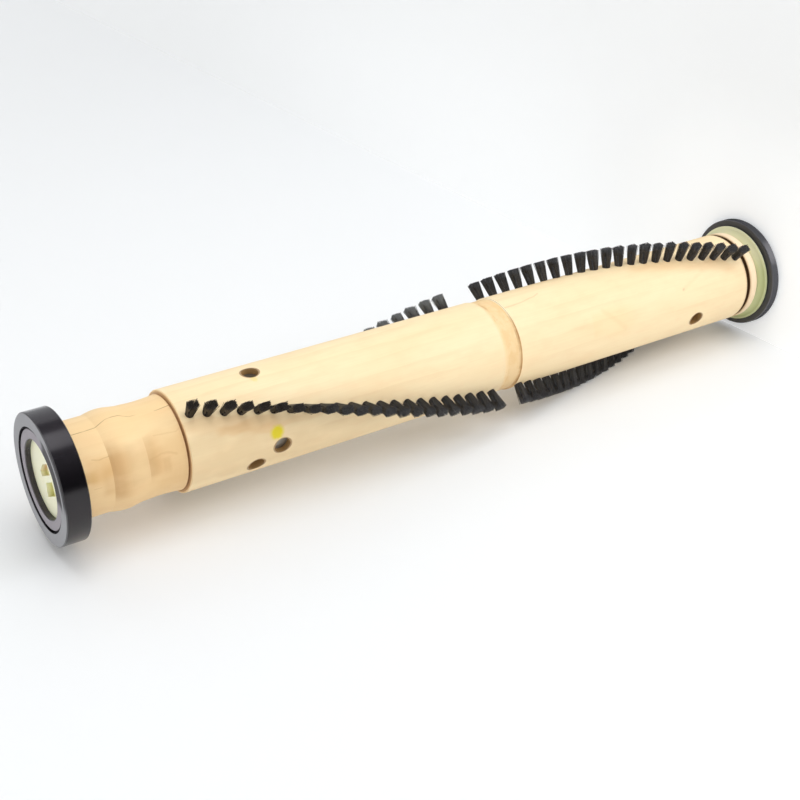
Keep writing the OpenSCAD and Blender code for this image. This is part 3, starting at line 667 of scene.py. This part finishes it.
# %% Ring finishes
def rubber(name, top_side_tone, front_side_tone, face_tone, lip_tone, painted_dark_share):
    finish = Finish(name, Roughness=0.2)
    finish.set("Specular IOR Level", 0.58)
    finish.set("Specular Tint", (1.0, 0.94, 0.96, 1.0))
    _, around, out, _ = wood_places(finish)
    facing_end = finish.node("ShaderNodeNewGeometry", out="Normal")
    upright = finish.math("ABSOLUTE", finish.node("ShaderNodeSeparateXYZ", None, {0: facing_end}, 2))
    face = finish.smooth(upright, 0.6, 0.95)
    bloom = finish.noise((5, 5, 5), 3, 0.6, 1)
    dust = finish.noise((0.8, 0.8, 0.8), 2, 0.5, 4)
    swept = finish.noise((0.25, 0.25, 60), 1, 0.5, 6)
    face_grey = finish.mix(finish.smooth(out, 18.5, 18.2), face_tone, lip_tone)
    # Painted dark reflection: the rim and lip of the face go black on the side towards the viewer.
    painted_dark_rim = finish.smooth(out, 21.2, 22.0) * band(finish, around, 42, 84, 14)
    painted_dark_lip = finish.smooth(out, 20.5, 20.2) * band(finish, around, 28, 88, 12)
    # The pale grey of the faces is partly bloom and partly a painted reflection of the bright room.
    bloom_and_reflection_grey = (0.8 + bloom * 0.2 + swept * 0.1) * (1 - (painted_dark_rim + painted_dark_lip) * painted_dark_share)
    # Painted light and shade on the outside: one tone on the top, another towards the viewer.
    side_tone = finish.mix(finish.smooth(around, 25, 70), top_side_tone, front_side_tone)
    tone = finish.mix(face * bloom_and_reflection_grey, side_tone, face_grey)
    finish.set("Base Color", finish.mix(finish.smooth(dust, 0.66, 0.8) * 0.06, tone, colour(120, 118, 114)))
    finish.set("Roughness", 0.17 + face * 0.45 + bloom * 0.06)
    finish.bump(dust, 0.006)
    return finish


upper_rubber = rubber("near_ring_rubber", colour(44, 41, 45), colour(14, 12, 15), colour(158, 158, 161),
                      colour(158, 152, 158), 0.9)
lower_rubber = rubber("far_ring_rubber", colour(72, 72, 75), colour(84, 84, 88), colour(64, 64, 62),
                      colour(64, 64, 62), 0)

# %% [markdown]
# ## Cream nylon
# Natural nylon is cream and lets a little light in. The dish has aged greenish, with a paler rim where
# hands touch it, and a painted light makes the side that looks off the table paler still. The pockets
# of the near cap are painted in deeper colours, tan above and olive below, a painted bounce light.
# Light that enters the nylon is scattered, which a small subsurface share gives.


# %% Cap finish
def cap_nylon(name, aging, pocket_floor):
    finish = Finish(name, Roughness=0.38)
    finish.set("Subsurface Weight", 0.15)
    finish.set("Subsurface Radius", (0.004, 0.003, 0.0015))
    finish.set("Subsurface Scale", 0.5)
    down, around, out, _ = wood_places(finish)
    mould = finish.noise((9, 9, 9), 2, 0.5, 6)
    tone = finish.mix(mould, colour(243, 240, 204), colour(250, 248, 220))
    rings = finish.node("ShaderNodeValToRGB", {"stops": [
        (0.0, colour(222, 224, 178)), (0.45, colour(198, 204, 152)), (0.86, colour(168, 176, 122)),
        (1.0, colour(196, 202, 156))]}, {0: (out + mould - aging[0]) / (aging[1] - aging[0])})
    # Painted light: the side that looks off the table is paler.
    rings = finish.mix(finish.smooth(around, 74, 40) * 0.6, rings, colour(236, 233, 200))
    tone = finish.mix(finish.smooth(out, aging[0] - 0.6, aging[0]), tone, rings)
    # Painted bounce light in the pockets: tan in the upper one, olive in the lower one.
    deep = finish.smooth(down, pocket_floor - 1.6, pocket_floor - 0.2) * finish.smooth(out, 13.0, 12.0)
    upper_side = finish.smooth(finish.math("COSINE", around * (math.pi / 180)), -0.2, 0.3)
    pocket = finish.mix(upper_side, colour(230, 226, 154), colour(238, 202, 148))
    finish.set("Base Color", finish.mix(deep * 0.8, tone, pocket))
    finish.set("Roughness", 0.34 + mould * 0.12)
    finish.bump(finish.noise((0.7, 0.7, 0.7), 2, 0.5, 8), 0.012)
    return finish


upper_nylon = cap_nylon("near_cap_nylon", (14.2, 22.0), 4.6)
lower_nylon = cap_nylon("far_cap_nylon", (16.6, 21.2), 400)

# %% [markdown]
# ## Metal, felt and the parts inside
# The bearings, pins and wires sit out of sight, but a reader may lift the pieces apart, so each has
# its own plain finish: ground races, polished balls, drawn wire and pressed felt.


# %% Small parts
def metal(name, tone, rough, grain):
    finish = Finish(name, Metallic=1.0)
    marks = finish.noise(grain, 3, 0.6, 5)
    finish.set("Base Color", finish.mix(marks, tone, [value * 0.8 for value in tone[:3]] + [1.0]))
    finish.set("Roughness", rough + marks * 0.15)
    finish.bump(marks, 0.004)
    return finish


felt = Finish("grey_felt", Roughness=0.95)
fuzz = felt.noise((0.25, 0.25, 0.6), 3, 0.7, 2)
felt.set("Base Color", felt.mix(fuzz, colour(118, 116, 112), colour(168, 166, 160)))
felt.bump(fuzz, 0.12)
cage = Finish("cage_nylon", Roughness=0.45)
cage_cloud = cage.noise((3, 3, 3), 2, 0.5, 3)
cage.set("Base Color", cage.mix(cage_cloud, colour(196, 182, 142), colour(212, 200, 164)))
cage.bump(cage_cloud, 0.01)
lead = metal("slug_grey_metal", colour(176, 172, 164), 0.45, (1.2, 1.2, 1.2))
wire = metal("plated_wire", colour(214, 208, 186), 0.25, (0.6, 0.6, 0.6))
pin_steel = metal("axle_steel", colour(196, 198, 202), 0.28, (0.2, 0.2, 4))
race_steel = metal("race_steel", colour(206, 208, 212), 0.2, (4, 4, 0.2))
ball_steel = metal("ball_steel", colour(222, 224, 228), 0.08, (2, 2, 2))
shield_steel = metal("shield_steel", colour(200, 202, 206), 0.3, (0.5, 0.5, 0.5))

# %% Dress the CAD nodes
finishes = {"wooden_roll": maple, "tuft_anchors": wire, "balance_slugs": lead,
            "upper_rubber_ring": upper_rubber, "lower_rubber_ring": lower_rubber,
            "upper_end_cap": upper_nylon, "lower_end_cap": lower_nylon}
finishes.update({row + "_tufts": nylon_black for row in rows})
for end in ("upper_", "lower_"):
    finishes.update({end + "felt_washer": felt, end + "axle_pin": pin_steel, end + "inner_race": race_steel,
                     end + "outer_race": race_steel, end + "bearing_balls": ball_steel,
                     end + "ball_cage": cage, end + "bearing_shields": shield_steel})
for name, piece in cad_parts.items():
    for slot in piece.material_slots:
        slot.material = finishes[name].material
print(len(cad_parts), "nodes dressed with", len({id(finish) for finish in finishes.values()}), "finishes")
